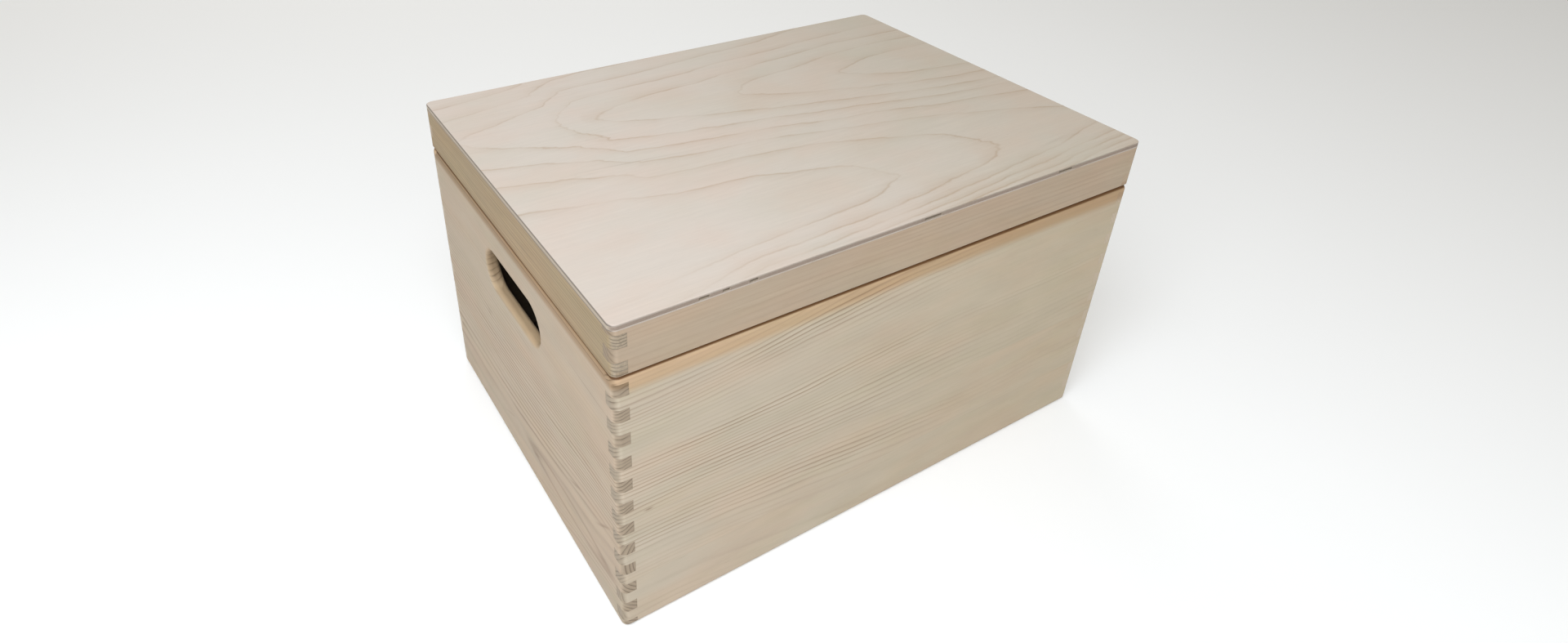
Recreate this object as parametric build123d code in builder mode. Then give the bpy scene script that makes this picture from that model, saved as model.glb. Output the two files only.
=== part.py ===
from build123d import *
import os

os.makedirs("parts", exist_ok=True)

# A finger-jointed pine box that is made closed and then sawn round, so that its
# upper slice becomes the lid. Millimetres, +Z up, front towards -Y. The origin is
# on the surface the box stands on, under the middle of the four walls.

# Overall sizes, lid closed
length = 400.0
depth = 293.0
height = 233.0
lid_height = 33.3
parting_gap = 0.5

# Boards and plywood
wall = 9.0
top_ply = 4.0
bottom_ply = 4.0
rebate_lip = 4.5

# Comb joint. The comb runs on through the saw cut, which takes one kerf out of it.
finger = 8.6
comb_start = -2.8
kerf = 2.9

# Rounded edges
corner_round = 4.5
foot_round = 3.0
rim_round = 3.5
lid_ease = 1.2
ply_ease = 0.8

# Hand hole in each short side
hole_length = 89.0
hole_height = 30.0
hole_round = 3.4
hole_to_rim = 27.0

# Brads that hold the bottom
brad_radius = 0.6
brad_head_radius = 1.1
brad_head = 0.6
brad_length = 16.0
brad_tip = 1.2
brad_clearance = 0.05
brads_per_long_side = 4
brads_per_short_side = 3
brad_pitch = 90.0

# Butt hinges on the back
hinge_spacing = 240.0
hinge_width = 40.0
leaf_height = 15.0
leaf_thickness = 1.2
leaf_round = 2.0
knuckle_count = 5
knuckle_gap = 0.3
bore_radius = 1.0
pin_clearance = 0.05
pin_head_radius = 1.7
pin_head = 0.7
pin_dome = 0.4
notch_clearance = 0.4

# Countersunk screws
screw_spacing = 24.0
screw_drop = 8.5
screw_radius = 1.2
screw_head_radius = 2.3
screw_head = 1.1
screw_length = 8.0
screw_tip = 1.6
screw_clearance = 0.05
recess_length = 2.6
recess_width = 0.5
recess_depth = 0.7

# Worked-out places
lid_bottom = height - lid_height
body_height = lid_bottom - parting_gap
frame_top = height - top_ply
back_face = depth / 2
hole_centre = body_height - hole_to_rim - hole_height / 2
panel_length = length - 2 * rebate_lip
panel_depth = depth - 2 * rebate_lip
brad_inset = (rebate_lip + wall) / 2
barrel_radius = bore_radius + leaf_thickness
barrel_length = hinge_width - knuckle_gap
notch_height = 2 * (barrel_radius + notch_clearance)
hinge_axis_y = back_face + barrel_radius
hinge_axis_z = body_height + parting_gap / 2
knuckle_pitch = hinge_width / knuckle_count
knuckle_length = knuckle_pitch - knuckle_gap
hinge_centres = {"left_hinge": -hinge_spacing / 2, "right_hinge": hinge_spacing / 2}


def spaced(count, pitch):
    """Centred positions along a line."""
    return [(index - (count - 1) / 2) * pitch for index in range(count)]


def comb_spans(low, high, start, parity):
    """Heights (foot, crown) of every second finger between two levels."""
    spans = []
    index = parity
    while start + index * finger < high:
        foot = max(low, start + index * finger)
        crown = min(high, start + (index + 1) * finger)
        if crown > foot:
            spans.append((foot, crown))
        index += 2
    return spans


def rounded_block(low, high, low_round, high_round):
    """The outline of the four walls as a solid block with rounded outer edges."""
    with BuildPart() as block:
        with BuildSketch(Plane.XY.offset(low)):
            RectangleRounded(length, depth, corner_round)
        extrude(amount=high - low)
        if low_round:
            fillet(block.faces().sort_by(Axis.Z)[0].edges(), low_round)
        if high_round:
            fillet(block.faces().sort_by(Axis.Z)[-1].edges(), high_round)
    return block.part


def comb_board(side, span, low, high, comb, block):
    """A board along one side of the box, between two levels, with fingers at its ends.

    side is the plane of the board's outer face and span its length over the fingers.
    comb is the level and parity of the fingers. block gives the board its round edges.
    """
    start, parity = comb
    with BuildPart() as piece:
        with BuildSketch(side):
            with Locations((0, (low + high) / 2)):
                Rectangle(span - 2 * wall, high - low)
            for foot, crown in comb_spans(low, high, start, parity):
                with Locations((0, (foot + crown) / 2)):
                    Rectangle(span, crown - foot)
        extrude(amount=-wall)
        add(block, mode=Mode.INTERSECT)
    return piece.part


def turned(profile):
    """A solid of revolution about +Z from points (radius, distance along the axis)."""
    with BuildPart() as solid:
        with BuildSketch(Plane.XZ):
            with BuildLine():
                Polyline(*profile, close=True)
            make_face()
        revolve(axis=Axis.Z)
    return solid.part


def brads(clearance):
    """The bottom's brads, heads down and flush, or their holes if there is a clearance."""
    radius = brad_radius + clearance
    head_radius = brad_head_radius + clearance
    end = brad_length + clearance
    profile = [
        (0, 0),
        (head_radius, 0),
        (head_radius, brad_head),
        (radius, brad_head),
        (radius, end - brad_tip),
        (0, end),
    ]
    front = depth / 2 - brad_inset
    side = length / 2 - brad_inset
    points = [(x, y, 0) for x in spaced(brads_per_long_side, brad_pitch) for y in (-front, front)]
    points += [(x, y, 0) for x in (-side, side) for y in spaced(brads_per_short_side, brad_pitch)]
    with BuildPart() as group:
        with Locations(*points):
            add(turned(profile))
    return group.part


def screw_planes(centre, side):
    """Planes of a leaf's screw heads, facing into the wood. side is -1 on the body, +1 on the lid."""
    level = hinge_axis_z + side * screw_drop
    face = back_face + leaf_thickness
    return [
        Plane(origin=(centre + x, face, level), x_dir=(1, 0, 0), z_dir=(0, -1, 0))
        for x in spaced(2, screw_spacing)
    ]


def screws(centre, side, clearance):
    """One leaf's countersunk screws, or their holes if there is a clearance."""
    radius = screw_radius + clearance
    end = screw_length + clearance
    profile = [
        (0, 0),
        (screw_head_radius + clearance, 0),
        (radius, screw_head),
        (radius, end - screw_tip),
        (0, end),
    ]
    with BuildPart() as group:
        with Locations(*screw_planes(centre, side)):
            add(turned(profile))
    return group.part


def all_screw_holes(side):
    """The holes for both hinges' screws in the body (-1) or in the lid (+1)."""
    with BuildPart() as group:
        for centre in hinge_centres.values():
            add(screws(centre, side, screw_clearance))
    return group.part


def finish(piece, name):
    """Label a piece and write it."""
    piece.label = name
    export_step(piece, f"parts/{name}.step")


# The outer faces of the four sides, with Z up in each
front_side = Plane(origin=(0, -depth / 2, 0), x_dir=(1, 0, 0), z_dir=(0, -1, 0))
back_side = Plane(origin=(0, depth / 2, 0), x_dir=(-1, 0, 0), z_dir=(0, 1, 0))
left_side = Plane(origin=(-length / 2, 0, 0), x_dir=(0, -1, 0), z_dir=(-1, 0, 0))
right_side = Plane(origin=(length / 2, 0, 0), x_dir=(0, 1, 0), z_dir=(1, 0, 0))

# The short boards own the even fingers and the long boards the odd ones. The lid's
# comb has dropped by the kerf of the saw cut.
short_comb = (comb_start, 0)
long_comb = (comb_start, 1)
short_lid_comb = (comb_start - kerf, 0)
long_lid_comb = (comb_start - kerf, 1)

body_block = rounded_block(0, body_height, foot_round, rim_round)
lid_block = rounded_block(lid_bottom, frame_top, lid_ease, 0)

# Bottom: plywood let into a rebate and bradded from below

with BuildPart() as bottom_panel:
    with BuildSketch():
        Rectangle(panel_length, panel_depth)
    extrude(amount=bottom_ply)
    add(brads(brad_clearance), mode=Mode.SUBTRACT)
finish(bottom_panel.part, "bottom_panel")

with BuildPart() as bottom_brads:
    add(brads(0))
finish(bottom_brads.part, "bottom_brads")

with BuildPart() as bottom_room:
    with BuildSketch():
        Rectangle(panel_length, panel_depth)
    extrude(amount=bottom_ply)
    add(brads(brad_clearance))

# Body: the front and back boards

with BuildPart() as front_board:
    add(comb_board(front_side, length, 0, body_height, long_comb, body_block))
    add(bottom_room.part, mode=Mode.SUBTRACT)
finish(front_board.part, "front_board")

with BuildPart() as back_board:
    add(comb_board(back_side, length, 0, body_height, long_comb, body_block))
    add(bottom_room.part, mode=Mode.SUBTRACT)
    add(all_screw_holes(-1), mode=Mode.SUBTRACT)
finish(back_board.part, "back_board")

# Body: the left and right boards, each with a hand hole

for name, side in (("left_board", left_side), ("right_board", right_side)):
    with BuildPart() as short_board:
        add(comb_board(side, depth, 0, body_height, short_comb, body_block))
        add(bottom_room.part, mode=Mode.SUBTRACT)
        with BuildSketch(side):
            with Locations((0, hole_centre)):
                SlotOverall(hole_length, hole_height)
        extrude(amount=-wall, mode=Mode.SUBTRACT)
        fillet(short_board.edges(Select.LAST).filter_by(Plane.YZ), hole_round)
    finish(short_board.part, name)

# Lid: four rails and the plywood that lies on them

for name, side in (("lid_left_rail", left_side), ("lid_right_rail", right_side)):
    with BuildPart() as short_rail:
        add(comb_board(side, depth, lid_bottom, frame_top, short_lid_comb, lid_block))
    finish(short_rail.part, name)

with BuildPart() as lid_front_rail:
    add(comb_board(front_side, length, lid_bottom, frame_top, long_lid_comb, lid_block))
finish(lid_front_rail.part, "lid_front_rail")

with BuildPart() as lid_back_rail:
    add(comb_board(back_side, length, lid_bottom, frame_top, long_lid_comb, lid_block))
    add(all_screw_holes(1), mode=Mode.SUBTRACT)
finish(lid_back_rail.part, "lid_back_rail")

with BuildPart() as lid_top_panel:
    with BuildSketch(Plane.XY.offset(frame_top)):
        RectangleRounded(length, depth, corner_round)
    extrude(amount=top_ply)
    fillet(lid_top_panel.faces().sort_by(Axis.Z)[-1].edges(), ply_ease)
finish(lid_top_panel.part, "lid_top_panel")


# Hinges: two leaves with interleaved knuckles, a pin with peened ends, and screws


def hinge_leaf(centre, side):
    """One leaf with its knuckles. side is -1 for the body's leaf and +1 for the lid's."""
    places = [centre + x for x in spaced(knuckle_count, knuckle_pitch)]
    first = 0 if side < 0 else 1
    own = places[first::2]
    other = places[1 - first :: 2]
    with BuildPart() as leaf:
        with BuildSketch(Plane.XZ.offset(-back_face)) as outline:
            with Locations((centre, hinge_axis_z + side * leaf_height / 2)):
                Rectangle(barrel_length, leaf_height)
            fillet(outline.vertices().sort_by(Axis.Y, reverse=side < 0)[-2:], leaf_round)
            with Locations(*[(x, hinge_axis_z) for x in other]):
                Rectangle(knuckle_pitch + knuckle_gap, notch_height, mode=Mode.SUBTRACT)
        extrude(amount=-leaf_thickness)
        with Locations(*[(x, hinge_axis_y, hinge_axis_z) for x in own]):
            Cylinder(barrel_radius, knuckle_length, rotation=(0, 90, 0))
        with Locations((centre, hinge_axis_y, hinge_axis_z)):
            Cylinder(bore_radius, hinge_width, rotation=(0, 90, 0), mode=Mode.SUBTRACT)
        add(screws(centre, side, screw_clearance), mode=Mode.SUBTRACT)
    return leaf.part


def hinge_screws(centre, side):
    """One leaf's screws with a cross recess in each head."""
    with BuildPart() as group:
        add(screws(centre, side, 0))
        with BuildSketch(*screw_planes(centre, side)):
            Rectangle(recess_length, recess_width)
            Rectangle(recess_width, recess_length)
        extrude(amount=recess_depth, mode=Mode.SUBTRACT)
    return group.part


for name, centre in hinge_centres.items():
    finish(hinge_leaf(centre, -1), f"{name}_body_leaf")
    finish(hinge_leaf(centre, 1), f"{name}_lid_leaf")
    finish(hinge_screws(centre, -1), f"{name}_body_screws")
    finish(hinge_screws(centre, 1), f"{name}_lid_screws")
    with BuildPart() as hinge_pin:
        with Locations((centre, hinge_axis_y, hinge_axis_z)):
            Cylinder(bore_radius - pin_clearance, barrel_length, rotation=(0, 90, 0))
        for end in (-1, 1):
            with Locations((centre + end * (barrel_length + pin_head) / 2, hinge_axis_y, hinge_axis_z)):
                Cylinder(pin_head_radius, pin_head, rotation=(0, 90, 0))
        ends = hinge_pin.faces().sort_by(Axis.X)
        fillet(ends[0].edges() + ends[-1].edges(), pin_dome)
    finish(hinge_pin.part, f"{name}_pin")
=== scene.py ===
"""A finger-jointed pine box with a hinged plywood lid, dressed and lit for rendering.

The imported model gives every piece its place. Boards and metal parts are finished copies
of its nodes with softened arrises, and the lid's plywood is built up from its veneers.
"""

import logging
import math
from dataclasses import dataclass
from enum import Enum
from typing import Any, Callable, Mapping, Sequence, Union

import bmesh
import bpy
from mathutils import Matrix, Vector


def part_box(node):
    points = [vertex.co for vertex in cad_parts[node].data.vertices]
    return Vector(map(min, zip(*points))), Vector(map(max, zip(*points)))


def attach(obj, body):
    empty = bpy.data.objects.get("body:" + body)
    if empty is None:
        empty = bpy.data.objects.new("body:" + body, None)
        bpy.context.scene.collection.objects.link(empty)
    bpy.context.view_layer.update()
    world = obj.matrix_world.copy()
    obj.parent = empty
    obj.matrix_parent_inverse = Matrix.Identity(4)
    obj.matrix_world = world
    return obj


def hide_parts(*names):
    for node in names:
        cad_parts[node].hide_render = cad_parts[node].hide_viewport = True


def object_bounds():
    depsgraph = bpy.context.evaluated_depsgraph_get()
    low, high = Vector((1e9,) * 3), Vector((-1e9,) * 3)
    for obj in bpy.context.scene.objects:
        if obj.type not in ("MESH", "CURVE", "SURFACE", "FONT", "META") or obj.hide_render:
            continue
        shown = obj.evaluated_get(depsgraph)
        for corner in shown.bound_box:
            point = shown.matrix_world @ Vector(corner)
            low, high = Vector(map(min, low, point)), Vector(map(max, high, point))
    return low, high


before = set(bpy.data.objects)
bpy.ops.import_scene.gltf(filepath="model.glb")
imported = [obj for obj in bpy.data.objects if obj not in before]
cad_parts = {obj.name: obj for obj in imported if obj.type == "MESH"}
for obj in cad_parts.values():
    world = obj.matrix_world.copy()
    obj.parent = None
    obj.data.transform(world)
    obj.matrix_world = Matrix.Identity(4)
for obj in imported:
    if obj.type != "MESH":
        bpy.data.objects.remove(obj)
cad_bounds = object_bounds()

log = logging.getLogger("box")
MM = 0.001
END_GRAIN = "end_grain"
Colour = tuple[float, float, float]
Value = Union[float, Sequence[float], "Wire"]


class Grain(Enum):
    """The way the fibres of a piece run."""

    ALONG_X = "X"
    ALONG_Y = "Y"

    @property
    def direction(self) -> Vector:
        """The unit vector along the fibres."""
        return Vector((1, 0, 0)) if self is Grain.ALONG_X else Vector((0, 1, 0))


class Part(Enum):
    """What a mesh is selected by: the mode's name, and where its elements are kept."""

    EDGE = "edges"
    FACE = "faces"


# Shader maths


class Wire:
    """A shader socket that arithmetic can be written on."""

    def __init__(self, recipe: "Recipe", socket: bpy.types.NodeSocket) -> None:
        """Wrap one output socket of a material that a recipe builds."""
        self.recipe = recipe
        self.socket = socket

    def beside(self, output: str) -> "Wire":
        """Another output of the same node, by its name."""
        return Wire(self.recipe, self.socket.node.outputs[output])

    def maths(self, operation: str, *values: Value) -> "Wire":
        """A Math node, from Blender's name for the operation and its inputs in order."""
        return self.recipe.node("ShaderNodeMath", {"operation": operation}, dict(enumerate(values)))

    def __add__(self, other: Value) -> "Wire":
        """self + other."""
        return self.maths("ADD", self, other)

    def __radd__(self, other: Value) -> "Wire":
        """other + self."""
        return self.maths("ADD", other, self)

    def __sub__(self, other: Value) -> "Wire":
        """self - other."""
        return self.maths("SUBTRACT", self, other)

    def __rsub__(self, other: Value) -> "Wire":
        """other - self."""
        return self.maths("SUBTRACT", other, self)

    def __mul__(self, other: Value) -> "Wire":
        """self * other."""
        return self.maths("MULTIPLY", self, other)

    def __rmul__(self, other: Value) -> "Wire":
        """other * self."""
        return self.maths("MULTIPLY", other, self)

    def __truediv__(self, other: Value) -> "Wire":
        """self / other."""
        return self.maths("DIVIDE", self, other)

    def __rtruediv__(self, other: Value) -> "Wire":
        """other / self."""
        return self.maths("DIVIDE", other, self)

    def __neg__(self) -> "Wire":
        """The opposite value."""
        return self.maths("MULTIPLY", self, -1.0)

    def __pow__(self, other: Value) -> "Wire":
        """self to a power."""
        return self.maths("POWER", self, other)

    def __abs__(self) -> "Wire":
        """The size of the value."""
        return self.maths("ABSOLUTE", self)

    def __gt__(self, other: Value) -> "Wire":
        """1 where self is over other, else 0."""
        return self.maths("GREATER_THAN", self, other)

    def at_least(self, other: Value) -> "Wire":
        """The larger of self and other."""
        return self.maths("MAXIMUM", self, other)

    def fraction(self) -> "Wire":
        """What is left over a whole number."""
        return self.maths("FRACT", self)

    def cosine(self) -> "Wire":
        """The cosine of the value in radians."""
        return self.maths("COSINE", self)

    def across(self, other: "Wire") -> "Wire":
        """The length of the step that goes self one way and other at a right angle."""
        return (self * self + other * other) ** 0.5

    def bell(self) -> "Wire":
        """exp(-value squared): 1 at zero, and nothing far from it."""
        return self.maths("EXPONENT", -(self * self))

    def spread(self, low: float, high: float, start: float = 0.0, end: float = 1.0) -> "Wire":
        """Ease the value from one range to another.

        Args:
            low: The value that gives start.
            high: The value that gives end.
            start: The result at and below low.
            end: The result at and above high.

        Returns:
            The eased value.
        """
        return self.recipe.node(
            "ShaderNodeMapRange",
            {"interpolation_type": "SMOOTHSTEP"},
            {0: self, 1: low, 2: high, 3: start, 4: end},
        )


class Recipe:
    """Builds the nodes of one material."""

    def __init__(self, name: str) -> None:
        """Start an empty material.

        Args:
            name: The material's name.
        """
        self.material = bpy.data.materials.new(name)
        self.material.use_nodes = True
        self.tree = self.material.node_tree
        self.tree.nodes.clear()

    def node(
        self,
        kind: str,
        settings: Mapping[str, Any] | None = None,
        sockets: Mapping[Any, Value] | None = None,
        output: int | str | None = 0,
    ) -> Wire | None:
        """Add a node of any type.

        Args:
            kind: The node's type.
            settings: Its properties, set first. "stops" holds a ramp's (place, grey) and
                "smooth" the way it runs between them.
            sockets: Values or wires for its inputs, by name or number.
            output: The output that is wanted, or None for a node that has none.

        Returns:
            That output.
        """
        made = self.tree.nodes.new(kind)
        for key, value in (settings or {}).items():
            if key == "stops":
                self._fill_ramp(made.color_ramp, value)
            elif key == "smooth":
                made.color_ramp.interpolation = value
            else:
                setattr(made, key, value)
        for key, value in (sockets or {}).items():
            if isinstance(value, Wire):
                self.tree.links.new(value.socket, made.inputs[key])
            else:
                made.inputs[key].default_value = value
        return None if output is None else Wire(self, made.outputs[output])

    @staticmethod
    def _fill_ramp(ramp: bpy.types.ColorRamp, stops: Sequence[tuple[float, float]]) -> None:
        """Set a ramp's stops.

        Args:
            ramp: The ramp.
            stops: (place, grey) from left to right.
        """
        while len(ramp.elements) < len(stops):
            ramp.elements.new(1.0)
        for element, (place, grey) in zip(ramp.elements, stops):
            element.position = place
            element.color = (grey, grey, grey, 1.0)

    def place(self) -> tuple[Wire, Wire, Wire]:
        """Where the shaded point is on its piece.

        Returns:
            Its x, y and z in millimetres.
        """
        spot = self.node("ShaderNodeTexCoord", output="Object")
        scale = {0: spot, "Scale": 1.0 / MM}
        scaled = self.node("ShaderNodeVectorMath", {"operation": "SCALE"}, scale)
        x = self.node("ShaderNodeSeparateXYZ", None, {0: scaled}, "X")
        return x, x.beside("Y"), x.beside("Z")

    def vector(self, x: Value, y: Value, z: Value) -> Wire:
        """A vector from three values."""
        return self.node("ShaderNodeCombineXYZ", None, {0: x, 1: y, 2: z})

    def noise(self, x: Value, y: Value, z: Value, detail: float = 2.0, rough: float = 0.5) -> Wire:
        """Smooth noise from 0 to 1, averaging a half.

        Args:
            x: First coordinate, in features.
            y: Second coordinate.
            z: Third coordinate.
            detail: Octaves.
            rough: Strength of each finer octave.

        Returns:
            The noise.
        """
        return self.node(
            "ShaderNodeTexNoise",
            None,
            {"Vector": self.vector(x, y, z), "Scale": 1.0, "Detail": detail, "Roughness": rough},
        )

    def specks(self, x: Value, y: Value, z: Value, size: float, share: float) -> Wire:
        """Separate specks, one in some of the cells.

        Args:
            x: First coordinate, in cells.
            y: Second coordinate.
            z: Third coordinate.
            size: Radius of a speck, in cells.
            share: The share of the cells that hold one.

        Returns:
            1 inside a speck and 0 outside.
        """
        spot = {"Vector": self.vector(x, y, z), "Scale": 1.0}
        away = self.node("ShaderNodeTexVoronoi", None, spot, "Distance")
        chosen = self.node("ShaderNodeSeparateColor", None, {0: away.beside("Color")}) > share
        return away.spread(size * 0.4, size, 1.0, 0.0) * (1.0 - chosen)

    def blend(self, share: Value, first: Value, second: Value, mode: str = "MIX") -> Wire:
        """Mix two colours.

        Args:
            share: How much of the second, from 0 to 1.
            first: The colour to start from.
            second: The colour mixed in.
            mode: Blender's name for the way of mixing.

        Returns:
            The mixed colour.
        """
        settings = {"data_type": "RGBA", "blend_type": mode}
        sockets = {0: share, 6: paint(first), 7: paint(second)}
        return self.node("ShaderNodeMix", settings, sockets, 2)

    def end_grain(self) -> Wire:
        """How squarely the fibres are cut at the point, as mark_end_grain stored it."""
        return self.node("ShaderNodeAttribute", {"attribute_name": END_GRAIN}, output="Fac")

    def scaled(self, colour: Value, factor: Value) -> Wire:
        """A colour with all its channels multiplied by one factor."""
        grey = self.node("ShaderNodeCombineColor", None, {0: factor, 1: factor, 2: factor})
        return self.blend(1.0, colour, grey, "MULTIPLY")

    def surface(
        self,
        colour: Value,
        roughness: Value,
        height: Wire | None = None,
        lift: float = 0.0,
        metallic: float = 0.0,
        specular: float = 0.5,
    ) -> bpy.types.Material:
        """Close the material with its shader.

        Args:
            colour: Base colour.
            roughness: Roughness.
            height: Relief from 0 to 1.
            lift: Height of the relief, in metres.
            metallic: 1 for metal.
            specular: Strength of the clear reflection.

        Returns:
            The finished material.
        """
        sockets = {
            "Base Color": paint(colour),
            "Roughness": roughness,
            "Metallic": metallic,
            "Specular IOR Level": specular,
        }
        if height is not None:
            sockets["Normal"] = self.node(
                "ShaderNodeBump", None, {"Strength": 1.0, "Distance": lift, "Height": height}
            )
        shader = self.node("ShaderNodeBsdfPrincipled", None, sockets)
        self.node("ShaderNodeOutputMaterial", None, {"Surface": shader}, None)
        return self.material


def paint(colour: Value) -> Value:
    """A colour with its alpha, or the wire that it comes through."""
    return colour if isinstance(colour, Wire) else (*tuple(colour)[:3], 1.0)


# Finishes

SCORCH = (0.28, 0.18, 0.11)
ENDS = (-190.0, 190.0)
RING = ((0.0, 0.35), (0.08, 0.04), (0.45, 0.0), (0.72, 0.30), (0.90, 1.0), (1.0, 0.55))
GLUE_LINE = 0.14


@dataclass(frozen=True)
class Swirl:
    """A place where the growth rings bulge out of their run. Lengths are in millimetres.

    along and height are its centre, long and wide its half sizes, push its depth in rings.
    """

    along: float
    height: float
    long: float
    wide: float
    push: float

    def on(self, along: Wire, height: Wire) -> Wire:
        """The push at a point, in rings."""
        across = (height - self.height) / self.wide
        return ((along - self.along) / self.long).bell() * across.bell() * self.push


@dataclass(frozen=True)
class Fleck:
    """One dark fleck in the wood: a resin pocket or a pin knot. Lengths are in millimetres.

    along and height are its centre, long and wide its half sizes, slope its rise per
    length, and dark how much of the light it takes.
    """

    along: float
    height: float
    long: float
    wide: float
    slope: float
    dark: float

    def on(self, along: Wire, height: Wire) -> Wire:
        """How dark the fleck is at a point."""
        run, rise = along - self.along, height - self.height
        return (run / self.long).bell() * ((rise - run * self.slope) / self.wide).bell() * self.dark


@dataclass(frozen=True)
class Eye:
    """A closed ring line round a place where the cut grazes a growth ring, in millimetres.

    along and height are its centre, long and wide its half sizes, dark how much of the
    light its line takes, and line that line's width as a share of the half sizes.
    """

    along: float
    height: float
    long: float
    wide: float
    dark: float
    line: float = 0.16

    def on(self, along: Wire, height: Wire) -> Wire:
        """How dark the line is at a point."""
        away = ((along - self.along) / self.long).across((height - self.height) / self.wide) - 1.0
        return (away / self.line).bell() * self.dark


@dataclass(frozen=True)
class Band:
    """A height at which the growth rings stand out. height and half are in millimetres."""

    height: float
    half: float
    strength: float

    def on(self, height: Wire) -> Wire:
        """How much the rings stand out at a height."""
        return ((height - self.height) / self.half).bell() * self.strength


@dataclass(frozen=True)
class Spot:
    """Where the shaded point is in its board, in millimetres, and the recipe it is for.

    along runs with the fibres and deep through the board. level is z, drawn in where the
    rings fan out, strip the number of the glued strip, and lane an offset that gives each
    strip its own noise.
    """

    recipe: Recipe
    x: Wire
    y: Wire
    z: Wire
    along: Wire
    deep: Wire
    level: Wire
    strip: Value
    lane: Value


@dataclass(frozen=True)
class Edge:
    """The outer edge of a board where box and lid part. Lengths are in millimetres.

    half is half the length and half the depth of the box, height the level of the edge,
    depth how far the painted bounce light and shade reach from it, and gap_shadow how far
    the painted shadow of the parting gap reaches. Both reach down from the edge of a wall
    and up from a rail's. bounce_and_shade and far_bounce_and_shade are the painted tints
    at the two ends of the edge: orange light bounced between lid and box, and shade under
    the lid. gap_shadow_colour is the colour of the painted shadow. shoulder is the strength
    of the fine dark line that the round-over ends in, shoulder_drop and shoulder_half its
    place and half width, and reach how far in from the outer face the wood is changed.
    """

    half: tuple[float, float]
    height: float
    depth: float
    gap_shadow: float
    bounce_and_shade: Colour = (1.02, 0.855, 0.69)
    far_bounce_and_shade: Colour = (0.70, 0.555, 0.41)
    gap_shadow_colour: Colour = (0.40, 0.27, 0.16)
    shoulder: float = 0.0
    shoulder_drop: float = 3.3
    shoulder_half: float = 0.42
    reach: float = 3.4

    def on(self, spot: Spot, colour: Wire) -> Wire:
        """Paint bounce light and shade on the wood next to the edge, and a painted shadow along its
        arris.

        Args:
            spot: Where the point is.
            colour: The colour so far.

        Returns:
            The changed colour.
        """
        recipe = spot.recipe
        away = abs(spot.z - self.height)
        out = (abs(spot.x) - self.half[0]).at_least(abs(spot.y) - self.half[1])
        outside = out.spread(-self.reach * 1.2, -self.reach)
        # Painted bounce light and shade by the parting edge: an orange tint of light bounced
        # between lid and box, and shade that deepens toward the board's far end.
        if self.depth:
            near = away.spread(self.depth * 0.5, self.depth, 1.0, 0.0)
            tint = recipe.blend(spot.along.spread(*ENDS), self.bounce_and_shade, self.far_bounce_and_shade)
            colour = recipe.blend(near * outside, colour, tint, "MULTIPLY")
        # Painted shadow of the parting gap: a dark band along the arris that widens toward the
        # board's far end, plus a fine dark line where the round-over ends.
        gap_shadow = self.gap_shadow * spot.along.spread(*ENDS, 0.9, 1.25)
        dark = (away / gap_shadow).spread(0.6, 1.0, 1.0, 0.0)
        if self.shoulder:
            line = ((away - self.shoulder_drop) / self.shoulder_half).bell()
            dark = dark + line * self.shoulder
        return recipe.blend(dark * outside, colour, self.gap_shadow_colour, "MULTIPLY")


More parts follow.
